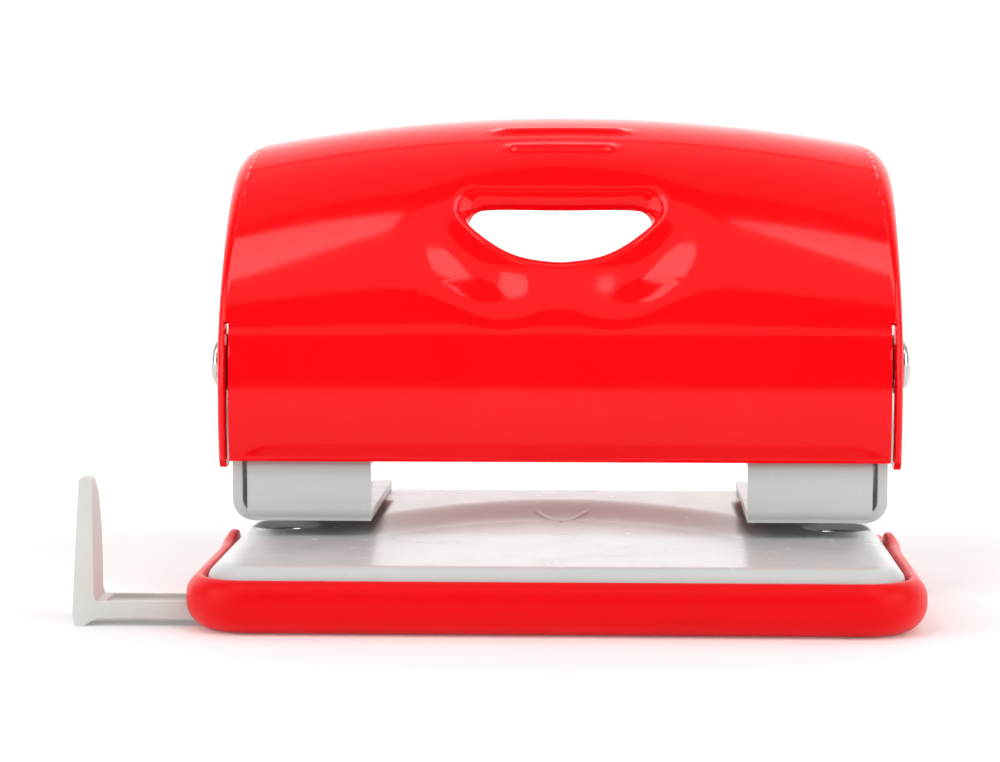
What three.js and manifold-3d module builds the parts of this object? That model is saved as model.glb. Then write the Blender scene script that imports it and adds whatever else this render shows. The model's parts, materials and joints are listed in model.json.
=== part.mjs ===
// Two-hole desk punch in millimetres, +Z up. The origin lies on the supporting surface, midway
// between the two punch axes. +X runs along the hole line, -Y faces the user and the paper.
import * as THREE from "three";
import { mergeVertices } from "three/addons/utils/BufferGeometryUtils.js";
import Module from "manifold-3d";

const wasm = await Module();
wasm.setup();

// ---------- driving dimensions ----------
const HOLE_SPACING = 80;
const PUNCH_X = HOLE_SPACING / 2;
const PUNCH_RADIUS = 2.95;
const FIT_GAP = 0.3; // clearance kept between neighbouring pieces
const SEAT_GAP = 0.1; // clearance under a piece that is clamped flat on another

const TRAY = { halfWidth: 49.1, front: -46.5, back: 32, height: 7.2, corner: 9, floor: 1 };
const TRAY_UNDERCUT = 3.9; // how far the flat underside lies inside the widest outline
const TRAY_WIDEST_Z = 3.8;
const TRAY_LIP_INSET = 1.4;
const TRAY_REAR_TOP = 4.6; // the rim is low behind this line, where the base plate rests on it
const TRAY_REAR_FROM = 1.5;
const TRAY_RIB = { thick: 1.1, halfLength: 46 }; // the two walls of the guide's channel
// Snap ears at the ends of the high lip, and the hooks behind the base plate with their hinge bead.
const SNAP = { y: -1.5, half: 2.6, top: 8.3 };
const HINGE = { y: 28.3, z: 6.3, lugX: 24, lugHalf: 5, bead: 0.9 };

const PLATE = { halfWidth: 46.3, front: -43.6, back: 28.9, corner: 6.4, sheet: 1.4 };
const TABLE_Z = 8.8;
const PLATEAU_Z = 11;
const STOP = { foot: 10.5, top: 12.4 }; // the step under each bracket that the paper's edge meets
// Between the brackets the step is a long arched ramp, whose ends come forward beside them.
const ARCH = { foot: 5.4, top: 15, sag: 18, halfWidth: 25, horn: 27.2 };
const ARCH_STEPS = 12;
const REAR_MARGIN = 3.4; // flat shoulder left between the raised rear and the plate's rounded edge
const REAR_SPREAD = 2.4; // how much wider the raised rear is at its foot
const SKIRT_Z = 5;
const EDGE_RADIUS = 2.6;

const DIE = { outer: 3.9, inner: 3.08, top: 8, bottom: 6.6, dimple: 5.3 };

const PIVOT = { y: -9, z: 33.2 };
const BRACKET = { sheet: 1.35, outer: 46, inner: 26.5, front: -13.8, back: 25.4, top: 20.3 };
const BRACKET_FRONT_END = 43.9; // the front wall stops short of the cheek by a relief slit
const BRACKET_BOTTOM = PLATEAU_Z + SEAT_GAP;
const BEND_RADIUS = 1.8;
const CHEEK_BEND_RADIUS = 3;
const TOP_PLATE_BACK = 7;
const EAR_RADIUS = 4.6; // round end of the cheek about the pivot
// Places of the two rivets of the left bracket as (x, y), and the radius of their holes.
const RIVETS = [[-31.3, 21.6], [-38.4, 19]];
const RIVET_HOLE = 1.6;

const HANDLE = { halfWidth: 47.9, sheet: 1, crown: 4.66 };
// Finger window: its plane leans back by lean degrees and stands on (y, z).
const WINDOW = { y: -7.2, z: 52.6, lean: 46, halfWidth: 13.6, up: 4.6, down: 6.3, rim: 2.2, rimWall: 0.9 };
const SLIT = { inner: 46.3, outer: 46.95, top: 39 };

const PIN = { bottom: 10.4, top: 30.3, groove: 2.5 };
const CLIP = { inner: 2.62, thick: 0.7 };
const SPRING_CLIP = { outer: 4.3, z: 28.6 };
const STOP_CLIP = { outer: 4.1, z: 18 };
const SPRING = { mean: 3.9, wire: 0.35, turns: 4.5 };
const PRESS_BAR = { y: 0, z: 33.8, outer: 3.2, inner: 2, wallTop: 36.6, halfLength: 46.5 };

const GUIDE = { front: -38.2, back: -30.6, bottom: 1.3, top: 3.4, innerEnd: 45.2, flagX: -61.5 };
const FLAG_TOP = 19.95;
const GUIDE_NOTCHES = [-54, -37.3, -6.3, 37.2]; // where the guide clicks into its paper formats

// ---------- materials ----------
const paint = (color, roughness) => new THREE.MeshStandardMaterial({ color, roughness, metalness: 0 });
const metal = (color, roughness) => new THREE.MeshStandardMaterial({ color, roughness, metalness: 1 });
const redPaint = paint(0xf20613, 0.18);
const redPlastic = paint(0xe8101a, 0.42);
const silverPaint = paint(0xc9cdcb, 0.25);
const greyPlastic = paint(0xd6d5d0, 0.5);
const nickel = metal(0xb9b9b4, 0.25);
const darkSteel = metal(0x777a7c, 0.35);

// ---------- geometry helpers ----------
const RING_STEPS = 5; // points on each rounded corner of a plan outline
const ROUND_SIDES = 24;

function solid(geometry) {
  const plain = geometry.index ? geometry.toNonIndexed() : geometry.clone();
  plain.deleteAttribute("normal");
  plain.deleteAttribute("uv");
  const merged = mergeVertices(plain, 1e-4);
  const mesh = new wasm.Mesh({
    numProp: 3,
    vertProperties: merged.attributes.position.array,
    triVerts: new Uint32Array(merged.index.array),
  });
  return new wasm.Manifold(mesh);
}

function join(first, ...rest) {
  return rest.reduce((all, next) => all.add(next), first);
}

function cut(body, ...tools) {
  return tools.reduce((left, tool) => left.subtract(tool), body);
}

function geometryOf(manifold) {
  const { numProp, numVert, vertProperties, triVerts } = manifold.getMesh();
  const positions = new Float32Array(numVert * 3);
  for (let i = 0; i < numVert; i++) {
    positions.set(vertProperties.subarray(i * numProp, i * numProp + 3), i * 3);
  }
  return new THREE.BufferGeometry()
    .setAttribute("position", new THREE.BufferAttribute(positions, 3))
    .setIndex(new THREE.BufferAttribute(new Uint32Array(triVerts), 1));
}

function box(x0, x1, y0, y1, z0, z1) {
  const shape = new THREE.BoxGeometry(x1 - x0, y1 - y0, z1 - z0);
  return solid(shape.translate((x0 + x1) / 2, (y0 + y1) / 2, (z0 + z1) / 2));
}

function cylinderX(radius, x0, x1, y, z, sides = ROUND_SIDES) {
  const shape = new THREE.CylinderGeometry(radius, radius, x1 - x0, sides).rotateZ(Math.PI / 2);
  return solid(shape.translate((x0 + x1) / 2, y, z));
}

function cylinderZ(radius, z0, z1, x, y, sides = ROUND_SIDES) {
  const shape = new THREE.CylinderGeometry(radius, radius, z1 - z0, sides).rotateX(Math.PI / 2);
  return solid(shape.translate(x, y, (z0 + z1) / 2));
}

// A profile of [radius, height] pairs turned about the Z axis through (x, y).
function turnedZ(profile, x, y, sides = ROUND_SIDES) {
  const points = profile.map(([r, z]) => new THREE.Vector2(r, z));
  return solid(new THREE.LatheGeometry(points, sides).rotateX(Math.PI / 2).translate(x, y, 0));
}

function shapeOf(points) {
  return new THREE.Shape(points.map(([a, b]) => new THREE.Vector2(a, b)));
}

function extrudeX(shape, x0, x1) {
  const flat = new THREE.ExtrudeGeometry(shape, { depth: x1 - x0, bevelEnabled: false, curveSegments: 6 });
  const turn = new THREE.Matrix4().set(0, 0, 1, x0, 1, 0, 0, 0, 0, 1, 0, 0, 0, 0, 0, 1);
  return solid(flat.applyMatrix4(turn));
}

function extrudeY(shape, y0, y1) {
  const flat = new THREE.ExtrudeGeometry(shape, { depth: y1 - y0, bevelEnabled: false, curveSegments: 6 });
  return solid(flat.rotateX(Math.PI / 2).translate(0, y1, 0));
}

// Joins closed rings that have the same number of points, and caps both ends.
function ringStack(rings) {
  const count = rings[0].length;
  const positions = [];
  const quad = (a, b, c, d) => positions.push(...a, ...b, ...c, ...a, ...c, ...d);
  for (let r = 0; r + 1 < rings.length; r++) {
    for (let i = 0; i < count; i++) {
      const j = (i + 1) % count;
      quad(rings[r][i], rings[r][j], rings[r + 1][j], rings[r + 1][i]);
    }
  }
  const first = rings[0];
  const last = rings[rings.length - 1];
  const facets = THREE.ShapeUtils.triangulateShape(flattened(first), []);
  for (const [a, b, c] of facets) positions.push(...first[a], ...first[c], ...first[b]);
  const lastFacets = THREE.ShapeUtils.triangulateShape(flattened(last), []);
  for (const [a, b, c] of lastFacets) positions.push(...last[a], ...last[b], ...last[c]);
  const geometry = new THREE.BufferGeometry();
  geometry.setAttribute("position", new THREE.Float32BufferAttribute(positions, 3));
  const made = solid(geometry);
  if (made.volume() < 0) throw new Error("a ring stack is inside out");
  return made;
}

// A ring in a plane of constant X keeps its (Y, Z) outline, any other keeps its (X, Y) outline.
function flattened(ring) {
  const sideways = ring.every((p) => p[0] === ring[0][0]);
  return ring.map(([x, y, z]) => (sideways ? new THREE.Vector2(y, z) : new THREE.Vector2(x, y)));
}

function planRing(halfWidth, front, back, radius, z) {
  const corners = [
    [halfWidth - radius, back - radius, 0],
    [radius - halfWidth, back - radius, 1],
    [radius - halfWidth, front + radius, 2],
    [halfWidth - radius, front + radius, 3],
  ];
  return corners.flatMap(([cx, cy, quarter]) =>
    Array.from({ length: RING_STEPS + 1 }, (_, k) => {
      const angle = ((quarter + k / RING_STEPS) * Math.PI) / 2;
      return [cx + radius * Math.cos(angle), cy + radius * Math.sin(angle), z];
    }),
  );
}

function insetRing(outline, inset, z) {
  const radius = Math.max(outline.corner - inset, 0.5);
  return planRing(outline.halfWidth - inset, outline.front + inset, outline.back - inset, radius, z);
}

function mirrored(geometry) {
  const plain = geometry.index ? geometry.toNonIndexed() : geometry.clone();
  const p = plain.attributes.position;
  for (let i = 0; i < p.count; i++) p.setX(i, -p.getX(i));
  for (let i = 0; i < p.count; i += 3) {
    const keep = [p.getX(i + 1), p.getY(i + 1), p.getZ(i + 1)];
    p.setXYZ(i + 1, p.getX(i + 2), p.getY(i + 2), p.getZ(i + 2));
    p.setXYZ(i + 2, ...keep);
  }
  return plain;
}

const group = new THREE.Group();

function addMesh(name, body, material) {
  const mesh = new THREE.Mesh(geometryOf(body), material);
  mesh.name = name;
  group.add(mesh);
}

// Adds a piece made on the -X side as left_NAME, and its mirror image as right_NAME.
function addPair(name, body, material) {
  addMesh("left_" + name, body, material);
  const mesh = new THREE.Mesh(mirrored(geometryOf(body)), material);
  mesh.name = "right_" + name;
  group.add(mesh);
}

// ---------- chip tray with the channel of the paper guide ----------
function chipTray() {
  const outer = [insetRing(TRAY, TRAY_UNDERCUT, 0)];
  for (const angle of [22, 45, 67, 90]) {
    const a = THREE.MathUtils.degToRad(angle);
    const inset = TRAY_UNDERCUT * (1 - Math.sin(a));
    outer.push(insetRing(TRAY, inset, TRAY_WIDEST_Z * (1 - Math.cos(a))));
  }
  for (const [share, inset] of [[0.45, 0.15], [0.85, 0.75], [1, TRAY_LIP_INSET]]) {
    outer.push(insetRing(TRAY, inset, TRAY_WIDEST_Z + share * (TRAY.height - TRAY_WIDEST_Z)));
  }
  const lipInner = TRAY.halfWidth - PLATE.halfWidth - FIT_GAP;
  const hollow = [
    insetRing(TRAY, lipInner + 0.5, TRAY.floor),
    insetRing(TRAY, lipInner, TRAY.floor + 1),
    insetRing(TRAY, lipInner, TRAY.height + 1),
  ];
  let tray = cut(ringStack(outer), ringStack(hollow));
  const rear = box(-60, 60, TRAY_REAR_FROM, 40, TRAY_REAR_TOP, 20);
  tray = cut(tray, rear);
  for (const side of [-1, 1]) tray = join(tray, snapLug(side), hingeLug(side));
  for (const y of [GUIDE.front - FIT_GAP - TRAY_RIB.thick, GUIDE.back + FIT_GAP]) {
    const { thick, halfLength } = TRAY_RIB;
    tray = join(tray, box(-halfLength, halfLength, y, y + thick, TRAY.floor - 0.2, TRAY_WIDEST_Z));
  }
  const mouth = box(-60, -44, GUIDE.front - FIT_GAP, GUIDE.back + FIT_GAP, TRAY.floor, GUIDE.top + FIT_GAP);
  return cut(tray, mouth);
}

// A rounded ear that ends the high lip at each side and snaps against the base plate.
function snapLug(side) {
  const outline = shapeOf([
    [SNAP.y - 6, TRAY_REAR_TOP], [SNAP.y + SNAP.half, TRAY_REAR_TOP],
    [SNAP.y + SNAP.half, SNAP.top - 1.4], [SNAP.y + SNAP.half - 1.2, SNAP.top - 0.3],
    [SNAP.y, SNAP.top], [SNAP.y - 2, SNAP.top - 0.3], [SNAP.y - 6, TRAY.height],
  ]);
  const inside = PLATE.halfWidth + FIT_GAP;
  const outside = TRAY.halfWidth - 1.1;
  return side < 0 ? extrudeX(outline, -outside, -inside) : extrudeX(outline, inside, outside);
}

// A hook behind the base plate's skirt, whose bead is the hinge line of the tray.
function hingeLug(side) {
  const x0 = side * HINGE.lugX - HINGE.lugHalf;
  const x1 = side * HINGE.lugX + HINGE.lugHalf;
  const post = box(x0, x1, PLATE.back + FIT_GAP, TRAY.back - 0.8, TRAY_WIDEST_Z - 1, HINGE.z - 0.2);
  const web = box(x0, x1, HINGE.y, PLATE.back + 1, HINGE.z - 1, HINGE.z - 0.2);
  return join(post, web, cylinderX(HINGE.bead, x0, x1, HINGE.y, HINGE.z, 16));
}

// ---------- base plate ----------
// The raised rear of the plate: its foot spreads wider than its top, and its front is arched.
function raisedRear(grow, drop) {
  const ring = (share, z) => {
    const side = PLATE.halfWidth - grow - REAR_MARGIN + REAR_SPREAD * share;
    const back = PLATE.back - grow - REAR_MARGIN + REAR_SPREAD * share;
    const stop = STOP.top + grow - (STOP.top - STOP.foot) * share;
    const middle = ARCH.top + grow - (ARCH.top - ARCH.foot) * share;
    const front = Array.from({ length: ARCH_STEPS + 1 }, (_, i) => {
      const x = (2 * i) / ARCH_STEPS - 1;
      return [x * (ARCH.halfWidth - grow), middle - ARCH.sag * x * x];
    });
    const horn = ARCH.horn - grow + 0.6 * share;
    const left = [[side, back], [-side, back], [-side, stop], [-horn, stop]];
    const right = [[horn, stop], [side, stop]];
    const at = ([x, y]) => [x, y, z - drop];
    return [...left.map(at), ...front.map(at), ...right.map(at)];
  };
  const foot = [ring(1.2, TABLE_Z - 0.6), ring(1, TABLE_Z - 0.1)];
  return ringStack([...foot, ring(0.2, PLATEAU_Z - 0.3), ring(0, PLATEAU_Z)]);
}

function basePlate() {
  const skin = (grow, drop) => {
    const outline = { ...PLATE, halfWidth: PLATE.halfWidth - grow, front: PLATE.front + grow };
    outline.back = PLATE.back - grow;
    outline.corner = PLATE.corner - grow;
    const radius = EDGE_RADIUS - grow;
    const rings = [insetRing(outline, 0, SKIRT_Z - (grow ? 1 : 0))];
    for (const angle of [0, 22.5, 45, 67.5, 90]) {
      const a = THREE.MathUtils.degToRad(angle);
      rings.push(insetRing(outline, radius * (1 - Math.cos(a)), TABLE_Z - drop - radius * (1 - Math.sin(a))));
    }
    return ringStack(rings);
  };
  const outer = join(skin(0, 0), raisedRear(0, 0));
  const inner = join(skin(PLATE.sheet, PLATE.sheet), raisedRear(PLATE.sheet, PLATE.sheet));
  let plate = cut(outer, inner);
  for (const side of [-1, 1]) {
    const x = side * PUNCH_X;
    const boss = cylinderZ(DIE.dimple + 0.8, DIE.bottom - 0.1, TABLE_Z - 0.7, x, 0);
    plate = join(plate, boss.intersect(outer));
    const cone = [
      [0, DIE.bottom - 1], [DIE.outer + 0.1, DIE.bottom - 1], [DIE.outer + 0.1, DIE.top],
      [DIE.dimple, TABLE_Z], [DIE.dimple + 0.3, TABLE_Z + 1], [0, TABLE_Z + 1],
    ];
    plate = cut(plate, turnedZ(cone, x, 0));
    const slot = [side * HINGE.lugX - HINGE.lugHalf - 0.4, side * HINGE.lugX + HINGE.lugHalf + 0.4];
    plate = cut(plate, box(slot[0], slot[1], 26, 30, SKIRT_Z - 1, HINGE.z + 1.25));
    for (const [rx, ry] of RIVETS) plate = cut(plate, cylinderZ(RIVET_HOLE, 5, 12, side * -rx, ry, 20));
  }
  return plate;
}

function dieBush() {
  const profile = [
    [DIE.inner, DIE.bottom], [DIE.outer, DIE.bottom], [DIE.outer, DIE.top - 0.2],
    [DIE.outer - 0.25, DIE.top], [DIE.inner + 0.25, DIE.top], [DIE.inner, DIE.top - 0.2],
    [DIE.inner, DIE.bottom],
  ];
  return turnedZ(profile, -PUNCH_X, 0, 32);
}

// ---------- punch brackets ----------
// Rounds a bend of a sheet: points on a quarter circle from angle a0 to a1 in degrees.
function arc(cx, cy, radius, a0, a1, steps = 6) {
  return Array.from({ length: steps + 1 }, (_, i) => {
    const a = THREE.MathUtils.degToRad(a0 + ((a1 - a0) * i) / steps);
    return [cx + radius * Math.cos(a), cy + radius * Math.sin(a)];
  });
}

function bracket() {
  const { sheet, outer, inner, front, back, top } = BRACKET;
  const bottom = BRACKET_BOTTOM;
  const r = BEND_RADIUS;
  const channel = shapeOf([
    [back, bottom], [back, bottom + sheet],
    ...arc(front + r, bottom + r, r - sheet, 270, 180, 3),
    ...arc(front + r, top - r, r - sheet, 180, 90, 3),
    [TOP_PLATE_BACK, top - sheet], [TOP_PLATE_BACK, top],
    ...arc(front + r, top - r, r, 90, 180),
    ...arc(front + r, bottom + r, r, 180, 270),
  ]);
  const c = CHEEK_BEND_RADIUS;
  const angle = shapeOf([
    [-inner, bottom], [-inner, bottom + sheet],
    ...arc(c - outer, bottom + c, c - sheet, 270, 180, 4),
    [sheet - outer, 45], [-outer, 45],
    ...arc(c - outer, bottom + c, c, 180, 270),
  ]);
  const cheekSide = shapeOf([
    [back + 1, 0], [back + 1, bottom + 4], [12, bottom + 4.5], [8, 14.5], [2.5, 22.5],
    [PIVOT.y + EAR_RADIUS, 27], ...arc(PIVOT.y, PIVOT.z, EAR_RADIUS, 0, 180, 12),
    [PIVOT.y - EAR_RADIUS, 28], [front + 0.4, 24], [front + 0.4, bottom + 2.4], [front + 1.6, 0],
  ]);
  const wall = extrudeX(channel, -BRACKET_FRONT_END, -inner);
  const cheek = extrudeY(angle, front - 1, back).intersect(extrudeX(cheekSide, -60, 0));
  let made = join(wall, cheek);
  made = cut(made, cylinderZ(PUNCH_RADIUS + 0.15, 0, 30, -PUNCH_X, 0));
  made = cut(made, cylinderX(2.3, -60, -30, PIVOT.y, PIVOT.z, 24));
  for (const [x, y] of RIVETS) made = cut(made, cylinderZ(RIVET_HOLE, 5, 15, x, y, 20));
  return made;
}

function bracketRivet([x, y]) {
  const seat = BRACKET_BOTTOM + BRACKET.sheet + SEAT_GAP;
  const under = PLATEAU_Z - PLATE.sheet - SEAT_GAP;
  const profile = [
    [0, under - 0.8], [1.9, under - 0.8], [2.2, under - 0.4], [2.2, under], [1.45, under],
    [1.45, seat], [2.3, seat], [2.15, seat + 0.5], [1.3, seat + 0.9], [0, seat + 1],
  ];
  return turnedZ(profile, x, y, 14);
}

function pivotRivet() {
  const earOuter = HANDLE.halfWidth + SEAT_GAP;
  const cheekInner = BRACKET.outer - BRACKET.sheet - SEAT_GAP;
  const profile = [
    [0, -earOuter - 1.6], [1.7, -earOuter - 1.45], [3, -earOuter - 0.95], [3.6, -earOuter - 0.3],
    [3.6, -earOuter], [2.15, -earOuter], [2.15, -cheekInner], [3.3, -cheekInner],
    [3.3, -cheekInner + 0.6], [2.4, -cheekInner + 1.1], [0, -cheekInner + 1.2],
  ];
  const points = profile.map(([radius, x]) => new THREE.Vector2(radius, x));
  const shape = new THREE.LatheGeometry(points, 20).rotateZ(-Math.PI / 2);
  return solid(shape.translate(0, PIVOT.y, PIVOT.z));
}

function pivotWasher() {
  const x0 = -(HANDLE.halfWidth - HANDLE.sheet) + SEAT_GAP;
  const x1 = -BRACKET.outer - SEAT_GAP;
  return cut(cylinderX(4.2, x0, x1, PIVOT.y, PIVOT.z, 20), cylinderX(2.4, -60, -30, PIVOT.y, PIVOT.z, 20));
}

// ---------- punch pins, clips and springs ----------
function punchPin() {
  const groove = (z) => [
    [PUNCH_RADIUS, z - 0.05], [PIN.groove, z - 0.05],
    [PIN.groove, z + CLIP.thick + 0.05], [PUNCH_RADIUS, z + CLIP.thick + 0.05],
  ];
  const profile = [
    [0, PIN.bottom], [PUNCH_RADIUS, PIN.bottom], ...groove(STOP_CLIP.z), ...groove(SPRING_CLIP.z),
    [PUNCH_RADIUS, PIN.top - 0.5], [PUNCH_RADIUS - 0.6, PIN.top], [0, PIN.top],
  ];
  const hollow = new THREE.CylinderGeometry(6, 6, 10, 28).translate(-PUNCH_X, 0, PIN.bottom - 5.1);
  return cut(turnedZ(profile, -PUNCH_X, 0), solid(hollow));
}

function retainingClip({ outer, z }) {
  const ring = new THREE.Shape().absarc(0, 0, outer, 0.62, 2 * Math.PI - 0.62, false);
  ring.lineTo(CLIP.inner * 0.86, -CLIP.inner * 0.52);
  ring.absarc(0, 0, CLIP.inner, 2 * Math.PI - 0.545, 0.545, true);
  const flat = new THREE.ExtrudeGeometry(ring, { depth: CLIP.thick, bevelEnabled: false, curveSegments: 12 });
  return solid(flat.rotateZ(Math.PI / 2).translate(-PUNCH_X, 0, z));
}

class Helix extends THREE.Curve {
  constructor(z0, z1) {
    super();
    this.z0 = z0;
    this.z1 = z1;
  }
  getPoint(t, target = new THREE.Vector3()) {
    const angle = 2 * Math.PI * SPRING.turns * t;
    const x = SPRING.mean * Math.cos(angle) - PUNCH_X;
    return target.set(x, SPRING.mean * Math.sin(angle), this.z0 + (this.z1 - this.z0) * t);
  }
}

function returnSpring() {
  const clear = SPRING.wire + 0.08;
  const path = new Helix(BRACKET.top + clear, SPRING_CLIP.z - clear);
  const section = new THREE.Shape().absarc(0, 0, SPRING.wire, 0, 2 * Math.PI, false);
  const steps = Math.round(SPRING.turns * 12);
  const options = { steps, extrudePath: path, bevelEnabled: false, curveSegments: 3 };
  return solid(new THREE.ExtrudeGeometry(section, options));
}

// ---------- handle ----------
// Side profile of the shell at its ends as (y, z), from the lower lip up and back to the free end.
const PROFILE = new THREE.CatmullRomCurve3(
  [
    [-14.9, 19.7], [-15.6, 23.5], [-15.9, 28], [-15.7, 33], [-14.9, 37.6], [-13, 42.2], [-10.1, 47],
    [-6.3, 52], [-1.9, 56.6], [3, 60.3], [8, 62.5], [13.5, 63.4], [19, 63.3], [24, 62.2],
  ].map(([y, z]) => new THREE.Vector3(0, y, z)),
  false,
  "centripetal",
);
const PROFILE_STEPS = 20;
const BEND_START = 0.3; // share of the profile below which the front is flat from side to side

// Corner radius of the bend between the front and the side flanges, and the crown across the middle.
function cornerRadius(t) {
  const u = Math.max(0, (t - BEND_START) / (1 - BEND_START));
  return 1.2 + 5.2 * u * u;
}

function crownHeight(t, x) {
  const u = THREE.MathUtils.smoothstep(t, BEND_START, 0.85);
  return HANDLE.crown * u * (1 - (x / HANDLE.halfWidth) ** 2);
}

// A point of the shell's skin, at depth below the painted outer face.
function skinPoint(t, x, depth) {
  const p = PROFILE.getPoint(t);
  const tangent = PROFILE.getTangent(t);
  const normal = new THREE.Vector3(0, -tangent.z, tangent.y);
  const half = HANDLE.halfWidth - depth;
  const radius = Math.max(cornerRadius(t) - depth, 0.3);
  const over = Math.max(0, Math.abs(x) - (half - radius));
  const inset = radius - Math.sqrt(Math.max(0, radius * radius - over * over));
  const rise = crownHeight(t, x) - depth - inset;
  return [x, p.y + normal.y * rise, p.z + normal.z * rise];
}

function skinStations(half, endRadius) {
  const stations = [];
  for (const share of [0, 0.35, 0.65, 0.85, 1]) stations.push(half - endRadius * (1 - share));
  const flat = half - endRadius;
  const inner = [0.75, 0.5, 0.25].map((share) => flat * share);
  return [...stations.map((x) => -x).reverse(), ...inner.map((x) => -x), 0, ...inner.reverse(), ...stations];
}

// The lower and rear boundary of the side flanges, from the free end down to the ear's tip.
const FLANGE_EDGE = [
  [20, 53], [14, 45], [9.5, 38.5], [6.4, 33], [3.2, 28.6],
  [-2.5, 24.5], [-7, 20.6], [-9.5, 18.9], [-12.5, 18.6],
];

function handleBlock(depth, boundary) {
  const half = HANDLE.halfWidth - depth;
  const rings = skinStations(half, 6.4 - depth).map((x) => {
    const skin = Array.from({ length: PROFILE_STEPS + 1 }, (_, i) => skinPoint(i / PROFILE_STEPS, x, depth));
    const rest = boundary.map(([y, z]) => [x, y, z]);
    return [...rest, ...skin.map(([, y, z]) => [x, y, z])].reverse();
  });
  return ringStack(rings);
}


// The finger window in its own plane: a straight top, round shoulders and a bow below.
function windowOutline(grow) {
  const w = WINDOW.halfWidth + grow;
  const up = WINDOW.up + grow;
  const down = WINDOW.down + grow;
  const left = [];
  for (let i = 0; i <= 8; i++) {
    const share = i / 8;
    left.push([w * 0.94 * share, -down + (down + up * 0.15) * share * share]);
  }
  left.push([w, up * 0.42], [w * 0.985, up * 0.66], [w * 0.94, up * 0.88], [w * 0.86, up]);
  return [...left, ...left.map(([x, v]) => [-x, v]).reverse()].slice(0, -1);
}

function windowPrism(grow, from, to) {
  const options = { depth: to - from, bevelEnabled: false };
  const flat = new THREE.ExtrudeGeometry(shapeOf(windowOutline(grow)), options);
  flat.translate(0, 0, from);
  const tilt = THREE.MathUtils.degToRad(WINDOW.lean);
  return solid(flat.rotateX(tilt).translate(0, WINDOW.y, WINDOW.z));
}

function handleShell() {
  const { sheet, halfWidth } = HANDLE;
  const outer = handleBlock(0, FLANGE_EDGE);
  const beyond = [[34, 53], [34, 10], [-12, 10]];
  let shell = cut(outer, handleBlock(sheet, beyond));
  const rim = cut(windowPrism(WINDOW.rimWall, -WINDOW.rim, 4), windowPrism(0, -10, 10));
  shell = join(shell, rim.intersect(outer));
  shell = cut(shell, windowPrism(0, -14, 14));
  for (const side of [-1, 1]) {
    const [x0, x1] = side < 0 ? [-SLIT.outer, -SLIT.inner] : [SLIT.inner, SLIT.outer];
    shell = cut(shell, box(x0, x1, -25, -11, 10, SLIT.top));
    const reach = side * (halfWidth - 5);
    const bore = [Math.min(reach, side * 60), Math.max(reach, side * 60)];
    shell = cut(shell, cylinderX(2.4, bore[0], bore[1], PIVOT.y, PIVOT.z, 24));
    shell = cut(shell, box(bore[0], bore[1], -3.3, 3.3, PRESS_BAR.z - 0.9, PRESS_BAR.z + 0.9));
  }
  return shell;
}

// A folded channel across the handle: its round underside pushes both punch pins.
function pressBar() {
  const { y, z, outer, inner, wallTop, halfLength } = PRESS_BAR;
  const gutter = shapeOf([
    [y + outer, wallTop], [y + inner, wallTop], ...arc(y, z, inner, 0, -180, 8),
    [y - inner, wallTop], [y - outer, wallTop], ...arc(y, z, outer, -180, 0, 12),
  ]);
  const body = extrudeX(gutter, -halfLength, halfLength);
  const tab = (x0, x1) => box(x0, x1, -3, 3, z - 0.6, z + 0.6);
  const end = HANDLE.halfWidth - 0.1;
  return join(body, tab(-end, -halfLength + 2), tab(halfLength - 2, end));
}

// ---------- paper guide ----------
function paperGuide() {
  const { front, back, bottom, top, innerEnd, flagX } = GUIDE;
  const arm = box(flagX - 1, innerEnd, front, back, bottom, top);
  const recess = box(flagX + 1.5, innerEnd - 1.5, front + 0.7, back - 0.7, top - 0.6, top + 1);
  const flagFront = shapeOf([
    [flagX - 2.9, bottom], [flagX + 0.9, bottom], [flagX, bottom + 3], [flagX, FLAG_TOP - 0.4],
    [flagX - 0.4, FLAG_TOP], [flagX - 1.5, FLAG_TOP], [flagX - 1.8, FLAG_TOP - 0.4],
  ]);
  const flagSide = shapeOf([
    [front, 0], [back, 0], [back, 8], [back - 0.9, 13], [back - 2.6, 17.4], [front + 2, FLAG_TOP],
    [front, FLAG_TOP],
  ]);
  const flag = extrudeY(flagFront, front, back).intersect(extrudeX(flagSide, flagX - 5, flagX + 5));
  const footFront = shapeOf([
    [flagX - 2.6, 0], [flagX - 1.4, 0], [flagX + 0.8, bottom + 0.1], [flagX - 2.8, bottom + 0.1],
  ]);
  let guide = join(cut(arm, recess), flag, extrudeY(footFront, front, front + 4.5));
  for (const x of GUIDE_NOTCHES) guide = cut(guide, box(x - 0.6, x + 0.6, back - 0.45, back + 1, 0, top + 1));
  return guide;
}

// ---------- assembly ----------
addMesh("chip_tray", chipTray(), redPlastic);
addMesh("paper_guide", paperGuide(), greyPlastic);
addMesh("base_plate", basePlate(), silverPaint);
addPair("die_bush", dieBush(), nickel);
addPair("bracket", bracket(), silverPaint);
addPair("bracket_rivet_rear", bracketRivet(RIVETS[0]), nickel);
addPair("bracket_rivet_side", bracketRivet(RIVETS[1]), nickel);
addPair("pivot_rivet", pivotRivet(), nickel);
addPair("pivot_washer", pivotWasher(), nickel);
addPair("punch_pin", punchPin(), darkSteel);
addPair("spring_clip", retainingClip(SPRING_CLIP), darkSteel);
addPair("stop_clip", retainingClip(STOP_CLIP), darkSteel);
addPair("return_spring", returnSpring(), nickel);
addMesh("handle_shell", handleShell(), redPaint);
addMesh("press_bar", pressBar(), nickel);

export default group;
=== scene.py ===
import json
import math

import bmesh
import bpy
from mathutils import Matrix, Vector


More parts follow.
